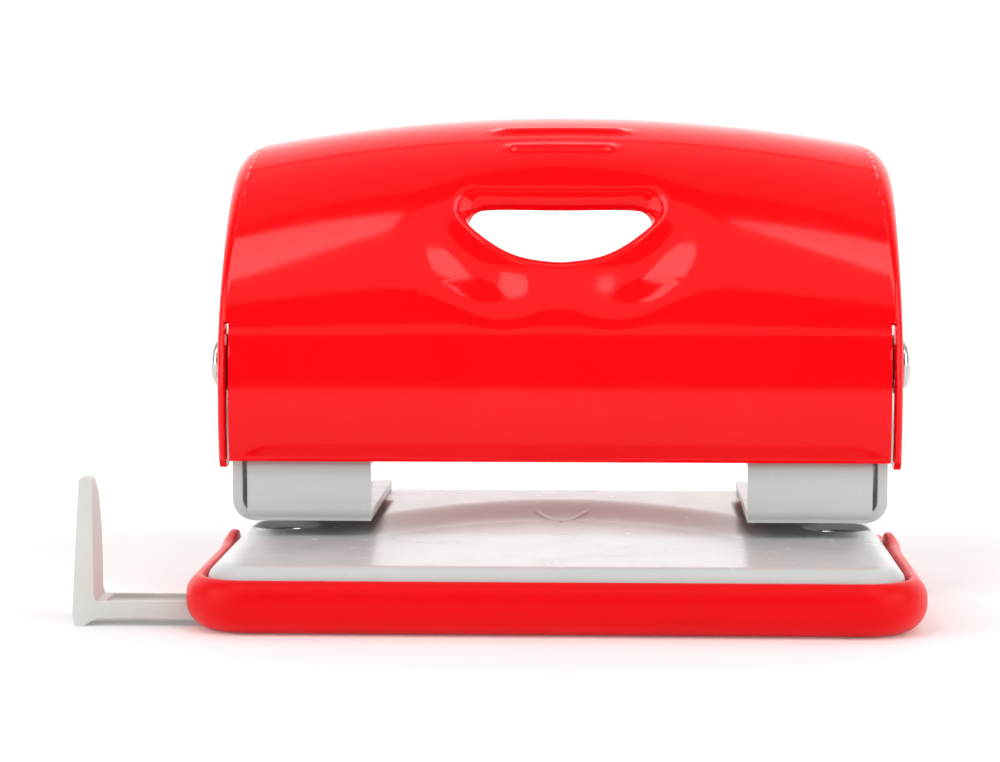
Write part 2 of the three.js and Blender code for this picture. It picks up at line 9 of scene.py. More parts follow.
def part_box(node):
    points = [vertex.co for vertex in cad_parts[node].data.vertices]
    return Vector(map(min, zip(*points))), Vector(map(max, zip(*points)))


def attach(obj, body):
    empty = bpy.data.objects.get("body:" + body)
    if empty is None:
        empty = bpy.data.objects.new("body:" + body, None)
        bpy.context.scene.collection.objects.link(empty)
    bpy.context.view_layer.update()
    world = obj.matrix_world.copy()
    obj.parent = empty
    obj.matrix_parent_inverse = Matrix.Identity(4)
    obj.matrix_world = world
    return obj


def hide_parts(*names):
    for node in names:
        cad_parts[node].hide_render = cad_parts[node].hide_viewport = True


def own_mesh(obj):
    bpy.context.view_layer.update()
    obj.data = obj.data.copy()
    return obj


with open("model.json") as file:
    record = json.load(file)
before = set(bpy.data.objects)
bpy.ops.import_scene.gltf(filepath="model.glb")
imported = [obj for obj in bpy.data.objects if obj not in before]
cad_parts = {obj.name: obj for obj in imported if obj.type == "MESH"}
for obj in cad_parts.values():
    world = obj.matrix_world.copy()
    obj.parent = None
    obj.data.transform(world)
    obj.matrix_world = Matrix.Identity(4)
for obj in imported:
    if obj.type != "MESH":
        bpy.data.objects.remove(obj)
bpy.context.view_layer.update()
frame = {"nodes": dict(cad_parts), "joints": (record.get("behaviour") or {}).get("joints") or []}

# Shapes are worked out in millimetres, as in the part's source, and built in metres.
MM = 0.001


def box_mm(node):
    low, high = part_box(node)
    return low / MM, high / MM


JOINTS = {joint["name"]: joint for joint in frame["joints"]}
TRAY_LOW, TRAY_HIGH = box_mm("chip_tray")
PLATE_LOW, PLATE_HIGH = box_mm("base_plate")
HANDLE_HIGH = box_mm("handle_shell")[1]
GUIDE_LOW, GUIDE_HIGH = box_mm("paper_guide")
DIE_LOW, DIE_HIGH = box_mm("right_die_bush")
PIVOT = Vector(JOINTS["handle_press"]["pos_m"]) / MM
TRAY_HINGE = Vector(JOINTS["tray_hinge"]["pos_m"]) / MM
PUNCH_X = (DIE_LOW.x + DIE_HIGH.x) / 2
DIE_RADIUS = (DIE_HIGH.x - DIE_LOW.x) / 2


# ---------- small maths ----------
def smooth(low, high, value):
    share = min(1.0, max(0.0, (value - low) / (high - low)))
    return share * share * (3 - 2 * share)


def mix(a, b, share):
    return a + (b - a) * share


def spaced(low, high, step):
    count = max(1, round((high - low) / step))
    return [mix(low, high, i / count) for i in range(count + 1)]


def arc(cy, cz, radius, start, end, steps):
    """Points (y, z) on a circle, from angle start to end in degrees."""
    angles = [math.radians(mix(start, end, i / steps)) for i in range(steps + 1)]
    return [(cy + radius * math.cos(a), cz + radius * math.sin(a)) for a in angles]


# ---------- meshes ----------
def new_piece(name, mesh, material, body, slot_name, *nodes):
    piece = bpy.data.objects.new(name, mesh)
    bpy.context.collection.objects.link(piece)
    piece.data.materials.clear()
    piece.data.materials.append(material)
    if nodes:
        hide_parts(*nodes)
    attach(piece, body)
    return piece


def mesh_from(name, points, faces):
    mesh = bpy.data.meshes.new(name)
    mesh.from_pydata([tuple(c * MM for c in p) for p in points], [], faces)
    return mesh


def finish_bmesh(bm, name, sharp_degrees=38):
    bmesh.ops.recalc_face_normals(bm, faces=bm.faces)
    sharp = math.radians(sharp_degrees)
    for face in bm.faces:
        face.smooth = True
    for edge in bm.edges:
        if edge.is_manifold:
            edge.smooth = edge.calc_face_angle(0) < sharp
    mesh = bpy.data.meshes.new(name)
    bm.to_mesh(mesh)
    bm.free()
    return mesh


def bevel_sharp(bm, width, segments=3, degrees=28):
    limit = math.radians(degrees)
    edges = [e for e in bm.edges if e.is_manifold and e.calc_face_angle(0) > limit]
    bmesh.ops.bevel(
        bm, geom=edges, offset=width * MM, offset_type="OFFSET", segments=segments,
        profile=0.5, affect="EDGES", clamp_overlap=True,
    )


def refined(node, name, width, segments=3, degrees=28):
    """A copy of a CAD node's mesh with its facets merged and its edges rounded."""
    bm = bmesh.new()
    bm.from_mesh(frame["nodes"][node].data)
    bmesh.ops.remove_doubles(bm, verts=bm.verts, dist=0.002 * MM)
    bmesh.ops.dissolve_limit(bm, angle_limit=math.radians(1), verts=bm.verts, edges=bm.edges)
    bmesh.ops.recalc_face_normals(bm, faces=bm.faces)
    bevel_sharp(bm, width, segments, degrees)
    return finish_bmesh(bm, name)


def turned(name, profile, centre, axis="Z", sides=64):
    """Turns a closed or axis-to-axis profile of (radius, along) about an axis through centre."""
    points = []
    rings = []
    for radius, along in profile:
        ring = []
        for i in range(1 if radius < 1e-6 else sides):
            angle = 2 * math.pi * i / sides
            across = (radius * math.cos(angle), radius * math.sin(angle))
            local = (along, *across) if axis == "X" else (*across, along)
            ring.append(len(points))
            points.append(Vector(centre) + Vector(local))
        rings.append(ring)
    faces = []
    pairs = list(zip(rings, rings[1:]))
    if len(rings[0]) > 1:
        pairs.append((rings[-1], rings[0]))
    for a, b in pairs:
        for i in range(sides):
            j = (i + 1) % sides
            corners = [a[i % len(a)], a[j % len(a)], b[j % len(b)], b[i % len(b)]]
            faces.append(list(dict.fromkeys(corners)))
    bm = bmesh.new()
    mesh = mesh_from(name, points, faces)
    bm.from_mesh(mesh)
    bpy.data.meshes.remove(mesh)
    return finish_bmesh(bm, name)


def block(name, outline, x0, x1, width):
    """A (y, z) outline pushed out from x0 to x1, with its edges rounded."""
    count = len(outline)
    points = [(x, y, z) for x in (x0, x1) for y, z in outline]
    faces = [list(range(count)), list(range(count, 2 * count))]
    faces += [[i, (i + 1) % count, count + (i + 1) % count, count + i] for i in range(count)]
    bm = bmesh.new()
    mesh = mesh_from(name, points, faces)
    bm.from_mesh(mesh)
    bpy.data.meshes.remove(mesh)
    bmesh.ops.recalc_face_normals(bm, faces=bm.faces)
    bevel_sharp(bm, width)
    return finish_bmesh(bm, name)


def rectangle(y0, y1, z0, z1):
    return [(y0, z0), (y1, z0), (y1, z1), (y0, z1)]


def apply_modifiers(piece):
    depsgraph = bpy.context.evaluated_depsgraph_get()
    mesh = bpy.data.meshes.new_from_object(piece.evaluated_get(depsgraph))
    old = piece.data
    piece.modifiers.clear()
    piece.data = mesh
    bpy.data.meshes.remove(old)


def carved(mesh, name, cutters, sharp_degrees):
    """The closed mesh without the volume of the cutter meshes."""
    piece = bpy.data.objects.new(name + "_blank", mesh)
    bpy.context.collection.objects.link(piece)
    tools = [bpy.data.objects.new("cutter", cutter) for cutter in cutters]
    for tool in tools:
        bpy.context.collection.objects.link(tool)
        cut = piece.modifiers.new("cut", "BOOLEAN")
        cut.object = tool
        cut.solver = "EXACT"
    apply_modifiers(piece)
    bm = bmesh.new()
    bm.from_mesh(piece.data)
    for scrap in [piece, *tools]:
        old = scrap.data
        bpy.data.objects.remove(scrap)
        bpy.data.meshes.remove(old)
    return finish_bmesh(bm, name, sharp_degrees)


def thicken(mesh, name, thickness, round_width, segments=3):
    """Gives an open skin its sheet thickness, inwards, and rounds the edges of the sheet."""
    bm = bmesh.new()
    bm.from_mesh(mesh)
    bmesh.ops.recalc_face_normals(bm, faces=bm.faces)
    top = max(bm.faces, key=lambda face: face.calc_center_median().z)
    if top.normal.z < 0:
        bmesh.ops.reverse_faces(bm, faces=bm.faces)
    bm.to_mesh(mesh)
    bm.free()
    piece = bpy.data.objects.new(name + "_skin", mesh)
    bpy.context.collection.objects.link(piece)
    sheet = piece.modifiers.new("sheet", "SOLIDIFY")
    sheet.thickness = thickness * MM
    sheet.offset = -1
    apply_modifiers(piece)
    bm = bmesh.new()
    bm.from_mesh(piece.data)
    old = piece.data
    bpy.data.objects.remove(piece)
    bpy.data.meshes.remove(old)
    bmesh.ops.recalc_face_normals(bm, faces=bm.faces)
    bevel_sharp(bm, round_width, segments, 50)
    return finish_bmesh(bm, name, 60)


def quilt(columns, rows, surface, holes=(), skip=lambda a, b: False, around=(0, None)):
    """A grid of points surface(a, b) for a in columns and b in rows, with ringed holes.

    A hole is (i0, i1, j0, j1, rings, place): its cells are left out of the grid, and rings
    loops join its border to its edge. place(a, b, k) gives the point of loop k, counted from
    the border, that faces the border point (a, b). around is (rings, place) for loops that go
    outwards from the grid's own border, and cells whose middle passes skip are left out."""
    points = []
    index = {}
    faces = []

    def node(i, j):
        if (i, j) not in index:
            index[i, j] = len(points)
            points.append(surface(columns[i], rows[j]))
        return index[i, j]

    def in_hole(i, j):
        return any(i0 <= i < i1 and j0 <= j < j1 for i0, i1, j0, j1, _, _ in holes)

    for i in range(len(columns) - 1):
        for j in range(len(rows) - 1):
            middle = ((columns[i] + columns[i + 1]) / 2, (rows[j] + rows[j + 1]) / 2)
            if not in_hole(i, j) and not skip(*middle):
                faces.append([node(i, j), node(i + 1, j), node(i + 1, j + 1), node(i, j + 1)])
    last_i, last_j = len(columns) - 1, len(rows) - 1
    for i0, i1, j0, j1, rings, place in [*holes, (0, last_i, 0, last_j, *around)]:
        border = [(i, j0) for i in range(i0, i1)] + [(i1, j) for j in range(j0, j1)]
        border += [(i, j1) for i in range(i1, i0, -1)] + [(i0, j) for j in range(j1, j0, -1)]
        outer = [node(i, j) for i, j in border]
        for k in range(1, rings + 1):
            inner = list(range(len(points), len(points) + len(border)))
            points.extend(place(columns[i], rows[j], k) for i, j in border)
            count = len(border)
            for n in range(count):
                m = (n + 1) % count
                faces.append([outer[n], outer[m], inner[m], inner[n]])
            outer = inner
    return points, faces


# ---------- materials ----------
class Finish:
    """A procedural material: a Principled shader with a few helper nodes."""

    def __init__(self, name, color, **values):
        self.material = bpy.data.materials.new(name)
        self.material.use_nodes = True
        self.nodes = self.material.node_tree.nodes
        self.links = self.material.node_tree.links
        self.shader = self.nodes["Principled BSDF"]
        self.color = color
        self.shader.inputs["Base Color"].default_value = (*color, 1)
        for key, value in values.items():
            self.shader.inputs[key.replace("_", " ")].default_value = value
        self.place = self.nodes.new("ShaderNodeTexCoord").outputs["Object"]

    def noise(self, scale, detail=3, stretch=None):
        texture = self.nodes.new("ShaderNodeTexNoise")
        texture.inputs["Scale"].default_value = scale
        texture.inputs["Detail"].default_value = detail
        place = self.place
        if stretch:
            mapping = self.nodes.new("ShaderNodeMapping")
            mapping.inputs["Scale"].default_value = stretch
            self.links.new(place, mapping.inputs["Vector"])
            place = mapping.outputs["Vector"]
        self.links.new(place, texture.inputs["Vector"])
        return texture.outputs["Fac"]

    def ramp(self, value, low, high, start=0.3, end=0.7):
        node = self.nodes.new("ShaderNodeMapRange")
        node.inputs["From Min"].default_value = start
        node.inputs["From Max"].default_value = end
        node.inputs["To Min"].default_value = low
        node.inputs["To Max"].default_value = high
        self.links.new(value, node.inputs["Value"])
        return node.outputs["Result"]

    def vary_roughness(self, scale, low, high, stretch=None):
        result = self.ramp(self.noise(scale, 4, stretch), low, high)
        self.links.new(result, self.shader.inputs["Roughness"])

    def vary_color(self, scale, shade):
        """Blends towards shade in soft clouds."""
        mixer = self.nodes.new("ShaderNodeMix")
        mixer.data_type = "RGBA"
        mixer.inputs["A"].default_value = (*self.color, 1)
        mixer.inputs["B"].default_value = (*shade, 1)
        self.links.new(self.ramp(self.noise(scale), 0, 1), mixer.inputs["Factor"])
        self.links.new(mixer.outputs["Result"], self.shader.inputs["Base Color"])

    def bump(self, value, distance, strength=1.0):
        node = self.nodes.new("ShaderNodeBump")
        node.inputs["Strength"].default_value = strength
        node.inputs["Distance"].default_value = distance * MM
        self.links.new(value, node.inputs["Height"])
        self.links.new(node.outputs["Normal"], self.shader.inputs["Normal"])


def red_enamel():
    finish = Finish("red_enamel", (0.95, 0.002, 0.006), Specular_IOR_Level=0.36, Coat_Weight=0.1)
    finish.shader.inputs["Specular Tint"].default_value = (1, 0.5, 0.5, 1)
    finish.shader.inputs["Coat Roughness"].default_value = 0.02
    finish.vary_color(45, (0.9, 0.001, 0.004))
    finish.vary_roughness(160, 0.07, 0.12)
    finish.bump(finish.noise(420, 2), 0.006, 0.5)
    return finish.material


def silver_enamel():
    finish = Finish("silver_enamel", (0.6, 0.62, 0.61), Specular_IOR_Level=0.3)
    finish.vary_color(70, (0.57, 0.595, 0.585))
    finish.vary_roughness(180, 0.2, 0.28)
    finish.bump(finish.noise(500, 2), 0.004, 0.3)
    return finish.material


def tray_plastic():
    finish = Finish("tray_plastic", (0.84, 0.002, 0.005), Specular_IOR_Level=0.25)
    finish.shader.inputs["Specular Tint"].default_value = (1, 0.4, 0.4, 1)
    finish.vary_color(60, (0.78, 0.003, 0.006))
    finish.vary_roughness(250, 0.32, 0.42)
    finish.bump(finish.noise(2600, 3), 0.012, 0.6)
    return finish.material


def guide_plastic():
    finish = Finish("guide_plastic", (0.66, 0.655, 0.63), Specular_IOR_Level=0.45)
    finish.vary_color(90, (0.62, 0.61, 0.585))
    finish.vary_roughness(300, 0.4, 0.52)
    finish.bump(finish.noise(2200, 3), 0.015, 0.6)
    return finish.material


def plated_steel(name, color, low, high, stretch=(1, 1, 1)):
    finish = Finish(name, color, Metallic=1.0)
    finish.vary_color(120, tuple(c * 0.86 for c in color))
    finish.vary_roughness(400, low, high, stretch)
    finish.bump(finish.noise(900, 4, stretch), 0.006, 0.5)
    return finish.material


RED = red_enamel()
SILVER = silver_enamel()
TRAY_RED = tray_plastic()
GUIDE_GREY = guide_plastic()
NICKEL = plated_steel("nickel_plate", (0.72, 0.71, 0.68), 0.16, 0.3)
TOOL_STEEL = plated_steel("tool_steel", (0.4, 0.41, 0.42), 0.25, 0.42, (1, 1, 0.1))
SPRING_STEEL = plated_steel("spring_steel", (0.6, 0.6, 0.58), 0.2, 0.34)


# ---------- handle shell ----------
HALF = HANDLE_HIGH.x
SHEET = 1.0
CROWN = 4.6
BEND_START = 0.3
WIDE_BEND = 7.6  # breadth of the columns that squeeze towards the bend
PANEL_EDGE = 1.6  # from the panel's last column to the side
PROFILE = [
    (-14.9, 19.7), (-15.6, 23.5), (-15.9, 28), (-15.7, 33), (-14.9, 37.6), (-13, 42.2), (-10.1, 47),
    (-6.3, 52), (-1.9, 56.6), (3, 60.3), (8, 62.5), (13.5, 63.4), (19, 63.3), (24, 62.2),
]
FLANGE_EDGE = [
    (-12.5, 18.6), (-9.5, 18.9), (-7, 20.6), (-2.5, 24.5), (3.2, 28.6),
    (6.4, 33), (9.5, 38.5), (14, 45), (20, 53),
]
SLIT_TOP = 39
WINDOW = {"y": -7.2, "z": 52.6, "lean": 46, "half": 13.0, "up": 4.2, "down": 3.8}
WINDOW_ROLL = 2.8
DISH = {"depth": 0.7, "half_x": 24, "half_v": 14, "centre_v": -1.5}
SCOOP = {"depth": 1.15, "x": 11.6, "v": -6.2, "turn": 42, "length": 12, "width": 7.5}
BEADS = [(8.6, 66.0), (7.0, 63.6)]
BEAD_HEIGHT = 0.52
BEAD_RADIUS = 1.1


def catmull(points, t):
    """Centripetal Catmull-Rom through 2-D points, with t from 0 to 1 over equal shares per span."""
    ends = [Vector(points[0]) * 2 - Vector(points[1]), *map(Vector, points)]
    ends.append(Vector(points[-1]) * 2 - Vector(points[-2]))
    place = min(max(t, 0), 1) * (len(points) - 1)
    span = min(int(place), len(points) - 2)
    w = place - span
    p = ends[span:span + 4]
    d = [max((p[i + 1] - p[i]).length ** 0.5, 1e-4) for i in range(3)]
    m1 = (p[1] - p[0]) / d[0] - (p[2] - p[0]) / (d[0] + d[1]) + (p[2] - p[1]) / d[1]
    m2 = (p[2] - p[1]) / d[1] - (p[3] - p[1]) / (d[1] + d[2]) + (p[3] - p[2]) / d[2]
    m1, m2 = m1 * d[1], m2 * d[1]
    c2 = -3 * p[1] + 3 * p[2] - 2 * m1 - m2
    c3 = 2 * p[1] - 2 * p[2] + m1 + m2
    return p[1] + m1 * w + c2 * w * w + c3 * w * w * w


def profile_frame(t):
    """The side profile's point and outward normal, both as (y, z)."""
    step = 1e-3
    low, high = max(t - step, 0), min(t + step, 1)
    tangent = (catmull(PROFILE, high) - catmull(PROFILE, low)).normalized()
    return catmull(PROFILE, t), Vector((-tangent.y, tangent.x))


def corner_radius(t):
    u = max(0, (t - BEND_START) / (1 - BEND_START))
    return 1.2 + 5.2 * u * u


def crown(t, x):
    return CROWN * smooth(BEND_START, 0.85, t) * (1 - (x / HALF) ** 2)


WINDOW_LEAN = math.radians(WINDOW["lean"])
WINDOW_UP = Vector((0, math.cos(WINDOW_LEAN), math.sin(WINDOW_LEAN)))
WINDOW_OUT = Vector((0, -math.sin(WINDOW_LEAN), math.cos(WINDOW_LEAN)))
WINDOW_CENTRE = Vector((0, WINDOW["y"], WINDOW["z"]))


def window_outline(grow):
    """The finger window in its own plane: a straight top, round shoulders and a bow below."""
    w, up, down = (WINDOW[k] + grow for k in ("half", "up", "down"))
    right = []
    for i in range(33):
        share = i / 32
        right.append((w * 0.94 * share, -down + (down + up * 0.15) * share * share))
    corner = [right[-1], (w, up * 0.42), (w * 0.985, up * 0.66), (w * 0.94, up * 0.88), (w * 0.86, up)]
    right += [tuple(catmull(corner, i / 16)) for i in range(1, 17)]
    right += [(w * 0.86 * (1 - i / 16), up) for i in range(1, 17)]
    return right


def window_reach(grow, angle):
    """How far the window's outline lies from its centre, at an angle from straight down."""
    outline = window_outline(grow)
    for (x0, v0), (x1, v1) in zip(outline, outline[1:]):
        a0, a1 = math.atan2(x0, -v0), math.atan2(x1, -v1)
        if a0 <= angle <= a1:
            share = (angle - a0) / max(a1 - a0, 1e-9)
            return Vector((mix(x0, x1, share), mix(v0, v1, share))).length
    return outline[-1][1]


REACH_STEPS = 180
REACH_GROWS = [0, 0.5, 1, 1.5, 2, 3, 4, 6, 8]
REACH = {g: [window_reach(g, math.pi * i / REACH_STEPS) for i in range(REACH_STEPS + 1)] for g in REACH_GROWS}


def reach_at(grow, angle):
    place = abs(angle) / math.pi * REACH_STEPS
    i = min(int(place), REACH_STEPS - 1)
    low = max(g for g in REACH_GROWS if g <= grow)
    high = min(g for g in REACH_GROWS if g >= grow)
    at_low = mix(REACH[low][i], REACH[low][i + 1], place - i)
    if high == low:
        return at_low
    at_high = mix(REACH[high][i], REACH[high][i + 1], place - i)
    return mix(at_low, at_high, (grow - low) / (high - low))


def bare_skin(t, x):
    """The outer face without dish and beads, and its normal, for |x| on the front panel."""
    p, n = profile_frame(t)
    radius = corner_radius(t)
    over = max(0, abs(x) - (HALF - radius))
    inset = radius - math.sqrt(max(0, radius * radius - over * over))
    rise = crown(t, x) - inset
    return Vector((x, p.x + n.x * rise, p.y + n.y * rise)), Vector((0, n.x, n.y))


def dish(x, v):
    """The broad hollow round the window, with a deeper scoop below each of its shoulders."""
    away = math.hypot(x / DISH["half_x"], (v - DISH["centre_v"]) / DISH["half_v"])
    turn = math.radians(SCOOP["turn"])
    dx, dv = abs(x) - SCOOP["x"], v - SCOOP["v"]
    along = (dx * math.cos(turn) + dv * math.sin(turn)) / SCOOP["length"]
    across = (dv * math.cos(turn) - dx * math.sin(turn)) / SCOOP["width"]
    scoop = SCOOP["depth"] * (1 - smooth(0, 1, math.hypot(along, across)))
    return -DISH["depth"] * (1 - smooth(0.35, 1, away)) - scoop


def bead_rise(x, place):
    total = 0
    for (half, _), at in zip(BEADS, BEAD_PLACES):
        along = max(0, abs(x) - half)
        gap = math.hypot(along, place - at)
        total += BEAD_HEIGHT * (1 - smooth(0, BEAD_RADIUS, gap))
    return total


# Arc length along the profile, so that rows and beads are placed by true distance.
PROFILE_STEPS = 400
ARC = [0.0]
for step in range(PROFILE_STEPS):
    here, there = catmull(PROFILE, step / PROFILE_STEPS), catmull(PROFILE, (step + 1) / PROFILE_STEPS)
    ARC.append(ARC[-1] + (there - here).length)


def arc_to_t(length):
    for i in range(PROFILE_STEPS):
        if ARC[i + 1] >= length:
            return (i + (length - ARC[i]) / (ARC[i + 1] - ARC[i])) / PROFILE_STEPS
    return 1.0


def arc_where(test):
    """Arc length of the first point of the profile, at mid-width, that passes the test."""
    for i in range(PROFILE_STEPS + 1):
        if test(bare_skin(i / PROFILE_STEPS, 0)[0]):
            return ARC[i]
    return ARC[-1]


BEAD_PLACES = [arc_where(lambda p, z=z: p.z > z) for _, z in BEADS]
SLIT_END = arc_where(lambda p: p.z > SLIT_TOP)


def skin(x, length):
    t = arc_to_t(length)
    point, normal = bare_skin(t, x)
    v = (point - WINDOW_CENTRE).dot(WINDOW_UP)
    push = bead_rise(x, length)
    return point + normal * (push + dish(x, v))


def skin_at(x, v):
    """The skin's point that lies at (x, v) of the window's plane."""
    low, high = ARC[-1] * 0.2, ARC[-1] * 0.95
    for _ in range(24):
        middle = (low + high) / 2
        if (skin(x, middle) - WINDOW_CENTRE).dot(WINDOW_UP) < v:
            low = middle
        else:
            high = middle
    return skin(x, low)


WINDOW_RINGS = [6.4, 5.6, 4.9, 4.3, 3.8, 3.4, 3.0, WINDOW_ROLL]
HALFWAY_RINGS = 3
ROLL_STEPS = 8


def window_place(x, length, k):
    """Loop k around the window: first out on the dish, then over the rolled rim."""
    border = skin(x, length)
    v = (border - WINDOW_CENTRE).dot(WINDOW_UP)
    angle = math.atan2(x, -v)
    outward = Vector((math.sin(angle), -math.cos(angle)))
    if k <= HALFWAY_RINGS:
        reach = reach_at(WINDOW_RINGS[0], angle)
        return skin_at(*(outward * mix(math.hypot(x, v), reach, k / (HALFWAY_RINGS + 1))))
    k -= HALFWAY_RINGS
    if k <= len(WINDOW_RINGS):
        return skin_at(*(outward * reach_at(WINDOW_RINGS[k - 1], angle)))
    turn = math.radians(90 * (k - len(WINDOW_RINGS)) / ROLL_STEPS)
    grow = WINDOW_ROLL * (1 - math.sin(turn))
    depth = WINDOW_ROLL * (1 - math.cos(turn))
    place = outward * reach_at(max(grow, 0), angle)
    rim = outward * reach_at(WINDOW_ROLL, angle)
    level = (skin_at(*rim) - WINDOW_CENTRE).dot(WINDOW_OUT)
    here = WINDOW_CENTRE + WINDOW_UP * place.y + Vector((place.x, 0, 0))
    return here + WINDOW_OUT * (level - depth)


def section_columns():
    """Columns of the shell's grid: |x| on the panel, then values above HALF for bend and flange."""
    panel = spaced(0, HALF - WIDE_BEND, 1.15)
    shoulder = [HALF - d for d in (6.6, 5.6, 4.6, 3.6, 2.8, 2.1, 1.6)]
    bend = [HALF + i / 8 for i in range(9)]
    flange = [HALF + 1 + (i + 1) / 14 for i in range(14)]
    right = panel + shoulder + bend + flange
    return [-c for c in reversed(right[1:])] + right


def shell_surface(column, length):
    t = arc_to_t(length)
    side = math.copysign(1, column)
    size = abs(column)
    radius = corner_radius(t)
    p, n = profile_frame(t)
    if size < HALF - 1.5:
        # The panel's own columns squeeze towards the bend where the bend is wide.
        edge = HALF - radius
        wide = HALF - WIDE_BEND
        last = HALF - PANEL_EDGE
        x = size if size < wide else mix(wide, min(edge, last), (size - wide) / (last - wide))
        return skin(side * x, length)
    if size <= HALF + 1:
        angle = math.radians(90) * (size - HALF)
        x = HALF - radius + radius * math.sin(angle)
        rise = crown(t, x) - radius * (1 - math.cos(angle))
    else:
        share = size - HALF - 1
        edge = catmull(FLANGE_EDGE, t)
        start = p - n * radius
        place = start + (edge - start) * share
        return Vector((side * HALF, place.x, place.y))
    return Vector((side * x, p.x + n.x * rise, p.y + n.y * rise))


def handle_shell():
    columns = section_columns()
    rows = spaced(0, BEAD_PLACES[-1] - 1.6, 0.8)
    rows += spaced(rows[-1], BEAD_PLACES[0] + 1.6, 0.3)[1:]
    rows += spaced(rows[-1], ARC[-1], 0.8)[1:]
    half_span = WINDOW["half"] + 9.5
    i0 = min(range(len(columns)), key=lambda i: abs(columns[i] + half_span))
    i1 = len(columns) - 1 - i0
    low = arc_where(lambda p: (p - WINDOW_CENTRE).dot(WINDOW_UP) > -WINDOW["down"] - 8)
    high = arc_where(lambda p: (p - WINDOW_CENTRE).dot(WINDOW_UP) > WINDOW["up"] + 7)
    j0 = min(range(len(rows)), key=lambda j: abs(rows[j] - low))
    j1 = min(range(len(rows)), key=lambda j: abs(rows[j] - high))
    rings = HALFWAY_RINGS + len(WINDOW_RINGS) + ROLL_STEPS
    hole = (i0, i1, j0, j1, rings, window_place)

    def in_slit(a, b):
        return HALF - PANEL_EDGE < abs(a) < HALF + 0.13 and b < SLIT_END

    points, faces = quilt(columns, rows, shell_surface, [hole], in_slit)
    mesh = thicken(mesh_from("shell", points, faces), "handle_shell_pressed", SHEET - 0.02, 0.3)
    new_piece("handle_shell_pressed", mesh, RED, "handle", "red_paint", "handle_shell")


handle_shell()


# ---------- base plate ----------
PLATE_HALF = PLATE_HIGH.x
PLATE_CORNER = 6.4
EDGE_RADIUS = 2.6
PLATE_SHEET = 1.4
TABLE_Z = DIE_HIGH.z + 0.8
PLATEAU_RISE = PLATE_HIGH.z - TABLE_Z
STOP_FOOT, STOP_TOP = 10.3, 12.8
ARCH = {"foot": 5.4, "top": 14.6, "sag": 18, "half": 25, "side": 27.6}
PLATE_CENTRE_Y = (PLATE_LOW.y + PLATE_HIGH.y) / 2
PLATE_HALF_DEPTH = (PLATE_HIGH.y - PLATE_LOW.y) / 2
EDGE_STEPS = 8
DIMPLE_RADIUS = 5.2
DIMPLE_RINGS = [5.3, 5.0, 4.7, 4.45, 4.2, DIE_RADIUS + 0.12]
DIE_PATCH = {"inside": 8, "outside": 5.5, "half": 7}
MARK = {"apex": 4.2, "arm_x": 3.7, "arm_y": 9, "half_width": 0.55, "height": 0.3}
HOOK_X, HOOK_HALF = 24, 5
HOOK_GAP = 0.4
SKIRT_STEPS = 2
DIE_COLLAR = 0.25


def rounded_distance(x, y, half_x, half_y, radius):
    """Distance outside a rounded rectangle's outline, negative inside it."""
    qx, qy = abs(x) - half_x + radius, abs(y) - half_y + radius
    return math.hypot(max(qx, 0), max(qy, 0)) + min(max(qx, qy), 0) - radius


def centre_mark(x, y):
    """Height of the pressed V that marks the middle of the paper."""
    along = Vector((MARK["arm_x"], MARK["arm_y"] - MARK["apex"]))
    place = Vector((abs(x), y - MARK["apex"]))
    share = min(max(place.dot(along) / along.length_squared, 0), 1)
    gap = (place - along * share).length
    return MARK["height"] * (1 - smooth(0, MARK["half_width"], gap)) * (1 - 0.5 * share)


def plate_point(x, y):
    """A point of the plate's top: table, raised rear, rolled edge and dimples for the dies."""
    inset = -rounded_distance(x, y - PLATE_CENTRE_Y, PLATE_HALF, PLATE_HALF_DEPTH, PLATE_CORNER)
    across = min(abs(x), ARCH["half"]) / ARCH["half"]
    bow = ARCH["sag"] * across * across
    arch = smooth(ARCH["foot"] - bow, ARCH["top"] - bow, y)
    stop = smooth(STOP_FOOT, STOP_TOP, y)
    rise = mix(arch, stop, smooth(ARCH["half"], ARCH["side"], abs(x)))
    z = TABLE_Z + PLATEAU_RISE * rise * smooth(0.9, 3.6, inset)
    if inset < EDGE_RADIUS:
        z -= EDGE_RADIUS - math.sqrt(max(EDGE_RADIUS ** 2 - (EDGE_RADIUS - inset) ** 2, 0))
    gap = math.hypot(abs(x) - PUNCH_X, y)
    z -= (TABLE_Z - DIE_HIGH.z) * (1 - smooth(DIE_RADIUS, DIMPLE_RADIUS, gap))
    return Vector((x, y, z + centre_mark(x, y)))


def plate_place(u, v):
    """Maps a plain rectangle of places onto the plate's outline, corner squares onto quarter discs."""
    half = Vector((PLATE_HALF, PLATE_HALF_DEPTH))
    place = Vector((u, v - PLATE_CENTRE_Y))
    over = [max(0, abs(place[i]) - half[i] + PLATE_CORNER) / PLATE_CORNER for i in range(2)]
    round_over = (over[0] * math.sqrt(1 - over[1] ** 2 / 2), over[1] * math.sqrt(1 - over[0] ** 2 / 2))
    if min(over) > 0:
        place = Vector(
            math.copysign(half[i] - PLATE_CORNER + PLATE_CORNER * round_over[i], place[i]) for i in range(2)
        )
    return plate_point(place.x, place.y + PLATE_CENTRE_Y)


def plate_skirt(u, v, k):
    """Loop k down the skirt."""
    point = plate_place(u, v)
    point.z = mix(TABLE_Z - EDGE_RADIUS, PLATE_LOW.z, k / SKIRT_STEPS)
    return point


def die_place(side):
    """The loops round one die: down the dimple, then down the collar that holds the bush."""
    def place(x, y, k):
        out = Vector((x - side * PUNCH_X, y))
        angle = math.atan2(out.y, out.x)
        ring = min(k, len(DIMPLE_RINGS) + 1)
        radius = mix(out.length, DIMPLE_RINGS[0], 0.5) if ring == 1 else DIMPLE_RINGS[ring - 2]
        point = plate_point(side * PUNCH_X + radius * math.cos(angle), radius * math.sin(angle))
        point.z -= DIE_COLLAR * (k - ring)
        return point
    return place


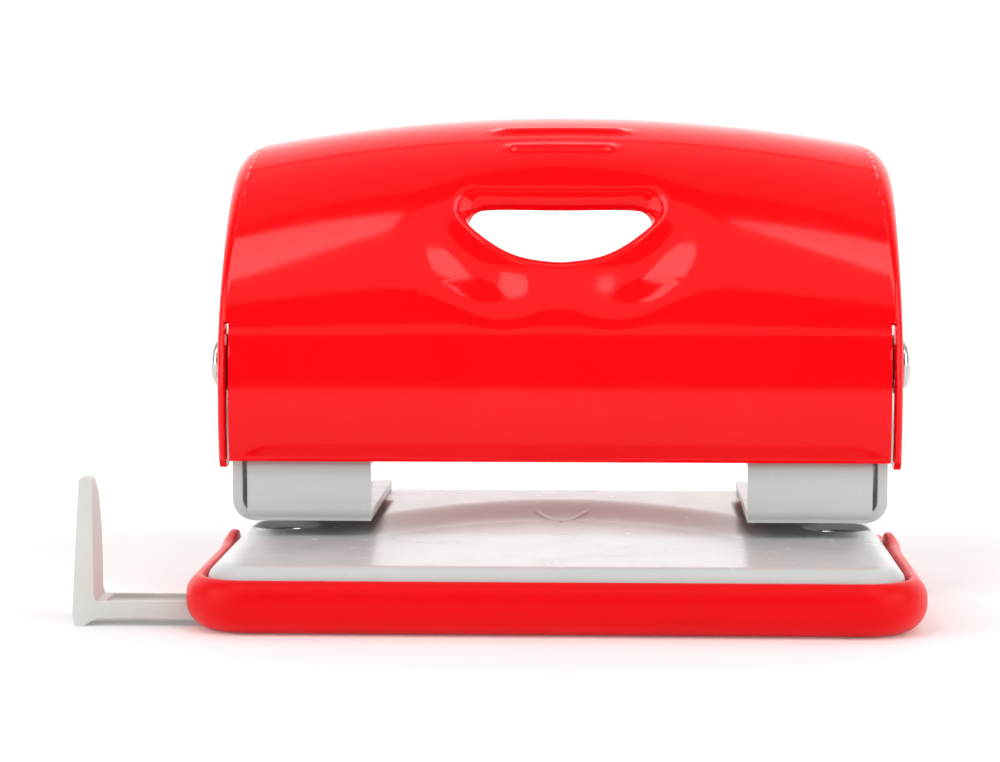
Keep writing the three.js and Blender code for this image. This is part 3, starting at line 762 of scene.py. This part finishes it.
def roll_insets():
    """Distances in from the outline that step evenly round the rolled edge."""
    turns = [math.radians(90 * i / EDGE_STEPS) for i in range(EDGE_STEPS)]
    return [EDGE_RADIUS * (1 - math.cos(turn)) for turn in turns]


def base_plate():
    insets = roll_insets()
    flat = PLATE_HALF - EDGE_RADIUS
    right = spaced(0, 5, 0.25) + spaced(5, 24, 0.9)[1:] + spaced(24, 29, 0.45)[1:]
    right += spaced(29, flat, 0.5)[1:] + [PLATE_HALF - inset for inset in reversed(insets)]
    columns = [-x for x in reversed(right[1:])] + right
    rows = [PLATE_LOW.y + inset for inset in insets] + spaced(PLATE_LOW.y + EDGE_RADIUS, -13, 1)
    rows += spaced(-13, 2.5, 0.5)[1:] + spaced(2.5, 10, 0.25)[1:]
    rows += spaced(10, PLATE_HIGH.y - EDGE_RADIUS, 0.5)[1:]
    rows += [PLATE_HIGH.y - inset for inset in reversed(insets)]

    def nearest(values, target):
        return min(range(len(values)), key=lambda n: abs(values[n] - target))

    holes = []
    for side in (-1, 1):
        edges = sorted(side * (PUNCH_X + reach) for reach in (-DIE_PATCH["inside"], DIE_PATCH["outside"]))
        i0, i1 = (nearest(columns, edge) for edge in edges)
        j0, j1 = (nearest(rows, edge) for edge in (-DIE_PATCH["half"], DIE_PATCH["half"]))
        holes.append((i0, i1, j0, j1, len(DIMPLE_RINGS) + 3, die_place(side)))
    points, faces = quilt(columns, rows, plate_place, holes, around=(SKIRT_STEPS, plate_skirt))
    mesh = thicken(mesh_from("plate", points, faces), "plate_uncut", PLATE_SHEET - 0.05, 0.3)
    slots = []
    for side in (-1, 1):
        ends = [side * HOOK_X - HOOK_HALF - HOOK_GAP, side * HOOK_X + HOOK_HALF + HOOK_GAP]
        outline = rectangle(PLATE_HIGH.y - 2.9, PLATE_HIGH.y + 1, PLATE_LOW.z - 1, TRAY_HINGE.z + 1.25)
        slots.append(block("plate_slot", outline, *ends, 0.05))
    mesh = carved(mesh, "base_plate_pressed", slots, 60)
    new_piece("base_plate_pressed", mesh, SILVER, "base", "silver_paint", "base_plate")


# ---------- chip tray ----------
TRAY_HALF = TRAY_HIGH.x
TRAY_CORNER = 9
TRAY_UNDERCUT = 3.9
TRAY_WIDEST_Z = 3.8
TRAY_LIP_Z = 7.2
TRAY_LIP_INSET = 1.4
TRAY_FLOOR = 1
TRAY_REAR_TOP = 4.6
GAP = 0.3


def rounded_outline(half, front, back, radius, step):
    """Points (x, y, normal_x, normal_y) round a rounded rectangle, about step apart."""
    points = []
    corners = [(1, 1, 0), (-1, 1, 90), (-1, -1, 180), (1, -1, 270)]
    for n, (sx, sy, start) in enumerate(corners):
        cx = sx * (half - radius)
        cy = back - radius if sy > 0 else front + radius
        steps = 18
        for i in range(steps):
            a = math.radians(start + 90 * i / steps)
            points.append((cx + radius * math.cos(a), cy + radius * math.sin(a), math.cos(a), math.sin(a)))
        a = math.radians(start + 90)
        here = Vector((cx + radius * math.cos(a), cy + radius * math.sin(a)))
        tx, ty, _ = corners[(n + 1) % 4]
        there_centre = Vector((tx * (half - radius), back - radius if ty > 0 else front + radius))
        there = there_centre + radius * Vector((math.cos(a), math.sin(a)))
        count = max(2, round((there - here).length / step))
        for i in range(count):
            p = here.lerp(there, i / count)
            points.append((p.x, p.y, math.cos(a), math.sin(a)))
    return points


def tray_top(y):
    """The lip is high round the front, ends in a rounded hump at each side and is low behind."""
    lip = TRAY_LIP_Z + (TRAY_HIGH.z - TRAY_LIP_Z) * smooth(-8.5, -2.2, y)
    return mix(lip, TRAY_REAR_TOP, smooth(-1.6, 1.5, y) ** 1.5)


def tray_section():
    """(inset, level) pairs up the outside: levels 0 to 1 rise to the widest line, 1 to 2 to the lip."""
    outside = [(TRAY_UNDERCUT + 0.5, 0.0)]
    for degrees in range(0, 91, 9):
        a = math.radians(degrees)
        outside.append((TRAY_UNDERCUT * (1 - math.sin(a)), 1 - math.cos(a)))
    for i in range(1, 11):
        outside.append((TRAY_LIP_INSET * (i / 10) ** 3.2, 1 + i / 10))
    return outside


def chip_tray():
    outline = rounded_outline(TRAY_HALF, TRAY_LOW.y, TRAY_HIGH.y, TRAY_CORNER, 0.8)
    inner = TRAY_HALF - PLATE_HALF - GAP
    loops = []
    for inset, level in tray_section():
        low = TRAY_WIDEST_Z * min(level, 1)
        loops.append([(inset, mix(low, tray_top(y), max(level - 1, 0))) for _, y, _, _ in outline])
    for inset, drop in ((1.7, -0.04), (2.05, -0.02), (inner - 0.15, 0.12), (inner, 0.4)):
        loops.append([(inset, tray_top(y) - drop) for _, y, _, _ in outline])
    for inset, z in ((inner, 3.2), (inner, TRAY_FLOOR + 1), (inner + 0.25, TRAY_FLOOR + 0.4),
                     (inner + 0.9, TRAY_FLOOR), (inner + 2, TRAY_FLOOR)):
        loops.append([(inset, z)] * len(outline))
    count = len(outline)
    points = [
        (x - nx * inset, y - ny * inset, z)
        for loop in loops for (x, y, nx, ny), (inset, z) in zip(outline, loop)
    ]
    faces = [list(range(count)), list(range(len(points) - count, len(points)))]
    for k in range(len(loops) - 1):
        for i in range(count):
            j = (i + 1) % count
            faces.append([k * count + i, k * count + j, (k + 1) * count + j, (k + 1) * count + i])
    bm = bmesh.new()
    mesh = mesh_from("tray", points, faces)
    bm.from_mesh(mesh)
    bmesh.ops.recalc_face_normals(bm, faces=bm.faces)
    bm.to_mesh(mesh)
    bm.free()
    opening = rectangle(GUIDE_LOW.y - GAP, GUIDE_HIGH.y + GAP, TRAY_FLOOR + 0.05, GUIDE_TOP + GAP)
    mouth = block("mouth", opening, -60, -TRAY_HALF + 6, 0.1)
    mesh = carved(mesh, "chip_tray_moulded", [mouth], 50)
    new_piece("chip_tray_moulded", mesh, TRAY_RED, "tray", "tray_plastic", "chip_tray")
    ribs = {"front": GUIDE_LOW.y - GAP - 1.1, "rear": GUIDE_HIGH.y + GAP}
    for name, y in ribs.items():
        rib = block("tray_rib_" + name, rectangle(y, y + 1.1, TRAY_FLOOR - 0.2, TRAY_WIDEST_Z), -46, 46, 0.25)
        new_piece("tray_rib_" + name, rib, TRAY_RED, "tray", "tray_plastic")
    hook = [
        (PLATE_HIGH.y + GAP, TRAY_WIDEST_Z - 1), (TRAY_HIGH.y - 0.8, TRAY_WIDEST_Z - 1),
        (TRAY_HIGH.y - 0.8, TRAY_HINGE.z - 0.2), (TRAY_HINGE.y, TRAY_HINGE.z - 0.1),
        *arc(TRAY_HINGE.y, TRAY_HINGE.z, 0.85, 60, 270, 10),
        (PLATE_HIGH.y + GAP, TRAY_HINGE.z - 1),
    ]
    for name, side in (("left", -1), ("right", 1)):
        x = side * HOOK_X
        mesh = block("tray_hook_" + name, hook, x - HOOK_HALF, x + HOOK_HALF, 0.2)
        new_piece("tray_hook_" + name, mesh, TRAY_RED, "tray", "tray_plastic")


# ---------- small metal pieces ----------
GUIDE_TOP = 3.4
DOME = {"radius": 3.6, "height": 1.6}
SPRING_TURNS = 4.5
SPRING_WIRE = 0.35
BUSH_BORE = 3.08
SHANK_RADIUS = 2.15


def pivot_rivet(name, side):
    low, high = box_mm(name)
    outer = max(abs(low.x), abs(high.x))
    inner = min(abs(low.x), abs(high.x))
    seat = outer - DOME["height"]
    dome = []
    for i in range(13):
        a = math.radians(90 * i / 12)
        dome.append((DOME["radius"] * math.sin(a), seat + 0.25 + (DOME["height"] - 0.25) * math.cos(a)))
    shank = [(DOME["radius"] - 0.12, seat + 0.02), (SHANK_RADIUS, seat + 0.02), (SHANK_RADIUS, inner + 1.3)]
    tail = [(3.2, inner + 1.25), (3.3, inner + 1.1), (3.2, inner + 0.6), (2.4, inner + 0.1), (0, inner)]
    profile = [(r, side * x) for r, x in [*dome, *shank, *tail]]
    mesh = turned(name + "_domed", profile, (0, PIVOT.y, PIVOT.z), "X")
    new_piece(name + "_domed", mesh, NICKEL, "base", "nickel_steel", name)


def die_bush(name):
    low, high = box_mm(name)
    bore = BUSH_BORE
    profile = [
        (bore, low.z), (DIE_RADIUS, low.z), (DIE_RADIUS, high.z - 0.3), (DIE_RADIUS - 0.1, high.z - 0.1),
        (DIE_RADIUS - 0.3, high.z), (bore + 0.3, high.z), (bore + 0.08, high.z - 0.08), (bore, high.z - 0.25),
    ]
    mesh = turned(name + "_ground", profile, ((low.x + high.x) / 2, 0, 0))
    new_piece(name + "_ground", mesh, NICKEL, "base", "nickel_steel", name)


def return_spring(name):
    low, high = box_mm(name)
    mean = (high.x - low.x) / 2 - SPRING_WIRE
    centre = (high.x + low.x) / 2
    z0, z1 = low.z + SPRING_WIRE, high.z - SPRING_WIRE
    steps, sides = round(SPRING_TURNS * 36), 10
    points = []
    for i in range(steps + 1):
        angle = 2 * math.pi * SPRING_TURNS * i / steps
        out = Vector((math.cos(angle), math.sin(angle), 0))
        share = smooth(0.06, 0.94, i / steps) * 0.35 + 0.65 * i / steps
        middle = Vector((centre, 0, mix(z0, z1, share))) + out * mean
        for k in range(sides):
            a = 2 * math.pi * k / sides
            points.append(middle + (out * math.cos(a) + Vector((0, 0, math.sin(a)))) * SPRING_WIRE)
    faces = [list(range(sides)), list(range(len(points) - sides, len(points)))]
    for i in range(steps):
        for k in range(sides):
            m = (k + 1) % sides
            faces.append([i * sides + k, i * sides + m, (i + 1) * sides + m, (i + 1) * sides + k])
    bm = bmesh.new()
    bm.from_mesh(mesh_from(name, points, faces))
    mesh = finish_bmesh(bm, name + "_wound")
    piece = new_piece(name + "_wound", mesh, SPRING_STEEL, "base", "spring_steel", name)
    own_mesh(piece)


def refined_piece(node, ending, width, material, body, slot_name):
    mesh = refined(node, node + ending, width)
    new_piece(node + ending, mesh, material, body, slot_name, node)


def metal_pieces():
    for side_name, side in (("left", -1), ("right", 1)):
        punch = side_name + "_punch"
        refined_piece(side_name + "_bracket", "_bent", 0.28, SILVER, "base", "silver_paint")
        pivot_rivet(side_name + "_pivot_rivet", side)
        die_bush(side_name + "_die_bush")
        for place in ("_bracket_rivet_rear", "_bracket_rivet_side"):
            refined_piece(side_name + place, "_set", 0.12, NICKEL, "base", "nickel_steel")
        refined_piece(side_name + "_pivot_washer", "_pressed", 0.12, NICKEL, "base", "nickel_steel")
        refined_piece(side_name + "_punch_pin", "_ground", 0.1, TOOL_STEEL, punch, "tool_steel")
        refined_piece(side_name + "_spring_clip", "_stamped", 0.12, TOOL_STEEL, punch, "tool_steel")
        refined_piece(side_name + "_stop_clip", "_stamped", 0.12, TOOL_STEEL, punch, "tool_steel")
        return_spring(side_name + "_return_spring")
    refined_piece("press_bar", "_folded", 0.2, NICKEL, "handle", "nickel_steel")
    refined_piece("paper_guide", "_moulded", 0.28, GUIDE_GREY, "guide", "guide_plastic")


base_plate()
chip_tray()
metal_pieces()


# ---------- camera, floor and lights ----------
BACKDROP_GLOW = 0.72
CAMERA = {"place": (7.5, -420, 64), "yaw": -2.22, "pitch": 4.64, "sensor": 36, "zoom": 2.911}
LIGHT_DISTANCE = 1.1


def add_camera():
    data = bpy.data.cameras.new("camera")
    data.sensor_width = CAMERA["sensor"]
    data.lens = CAMERA["sensor"] * CAMERA["zoom"]
    data.clip_start = 0.05
    camera = bpy.data.objects.new("camera", data)
    yaw = math.radians(CAMERA["yaw"])
    pitch = math.radians(CAMERA["pitch"])
    forward = Vector((math.sin(yaw) * math.cos(pitch), math.cos(yaw) * math.cos(pitch), -math.sin(pitch)))
    place = Matrix.Translation(Vector(CAMERA["place"]) * MM)
    camera.matrix_world = place @ forward.to_track_quat("-Z", "Y").to_matrix().to_4x4()
    bpy.context.collection.objects.link(camera)
    bpy.context.scene.camera = camera


def add_backdrop():
    """A white sheet that lies under the object, curves up behind it and glows at the back."""
    flat_end, radius, top = 450, 350, 1600
    bend = arc(flat_end, radius, radius, -90, 0, 16)
    sheet = [(-1500, 0), (-300, 0), (0, 0), *bend, (flat_end + radius, top)]
    half = 2500
    points = [(x, y, z) for x in (-half, half) for y, z in sheet]
    count = len(sheet)
    faces = [[i, i + 1, count + i + 1, count + i] for i in range(count - 1)]
    mesh = mesh_from("backdrop", points, faces)
    mesh.polygons.foreach_set("use_smooth", [True] * len(mesh.polygons))
    backdrop = bpy.data.objects.new("backdrop", mesh)
    bpy.context.collection.objects.link(backdrop)
    finish = Finish("backdrop_paper", (0.88, 0.88, 0.88), Roughness=0.85, Specular_IOR_Level=0.2)
    nodes, links = finish.material.node_tree.nodes, finish.material.node_tree.links
    split = nodes.new("ShaderNodeSeparateXYZ")
    glow = nodes.new("ShaderNodeMapRange")
    glow.inputs["From Min"].default_value = 0.1
    glow.inputs["From Max"].default_value = 0.5
    glow.inputs["To Min"].default_value = 0.1
    glow.inputs["To Max"].default_value = BACKDROP_GLOW
    links.new(nodes.new("ShaderNodeNewGeometry").outputs["Position"], split.inputs["Vector"])
    links.new(split.outputs["Y"], glow.inputs["Value"])
    shader = next(node for node in nodes if node.type == "BSDF_PRINCIPLED")
    shader.inputs["Emission Color"].default_value = (1, 1, 1, 1)
    links.new(glow.outputs["Result"], shader.inputs["Emission Strength"])
    mesh.materials.append(finish.material)


def add_softbox(name, azimuth, elevation, size, power):
    """A rectangular light that faces the object. Azimuth 0 is the camera's side."""
    data = bpy.data.lights.new(name, "AREA")
    data.shape = "RECTANGLE"
    data.size, data.size_y = size
    data.energy = power
    light = bpy.data.objects.new(name, data)
    a, e = math.radians(azimuth), math.radians(elevation)
    out = Vector((math.sin(a) * math.cos(e), -math.cos(a) * math.cos(e), math.sin(e)))
    target = Vector((0, 0, 0.04))
    turn = (-out).to_track_quat("-Z", "Y").to_matrix().to_4x4()
    light.matrix_world = Matrix.Translation(target + out * LIGHT_DISTANCE) @ turn
    bpy.context.collection.objects.link(light)


def add_light():
    world = bpy.data.worlds.new("studio")
    world.use_nodes = True
    nodes, links = world.node_tree.nodes, world.node_tree.links
    direction = nodes.new("ShaderNodeTexCoord").outputs["Generated"]
    split = nodes.new("ShaderNodeSeparateXYZ")
    fade = nodes.new("ShaderNodeMapRange")
    fade.interpolation_type = "SMOOTHSTEP"
    fade.inputs["From Min"].default_value = -0.2
    fade.inputs["From Max"].default_value = 0.5
    fade.inputs["To Min"].default_value = 0.12
    fade.inputs["To Max"].default_value = 0.45
    links.new(direction, split.inputs["Vector"])
    links.new(split.outputs["Y"], fade.inputs["Value"])
    links.new(fade.outputs["Result"], nodes["Background"].inputs["Strength"])
    nodes["Background"].inputs["Color"].default_value = (1, 1, 1, 1)
    bpy.context.scene.world = world
    bpy.context.scene.view_settings.view_transform = "Standard"
    add_softbox("strip_front", 0, 30, (1.3, 0.12), 0.34)
    add_softbox("box_front", 0, 57, (1.3, 0.36), 1.0)
    add_softbox("box_top", 0, 96, (1.4, 0.7), 1.0)
    for side_name, side in (("left", -1), ("right", 1)):
        add_softbox("box_" + side_name, side * 58, 20, (0.9, 0.9), 6.2)
        add_softbox("lamp_" + side_name, side * 41, 59, (0.36, 0.36), 1.5)


add_camera()
add_backdrop()
add_light()
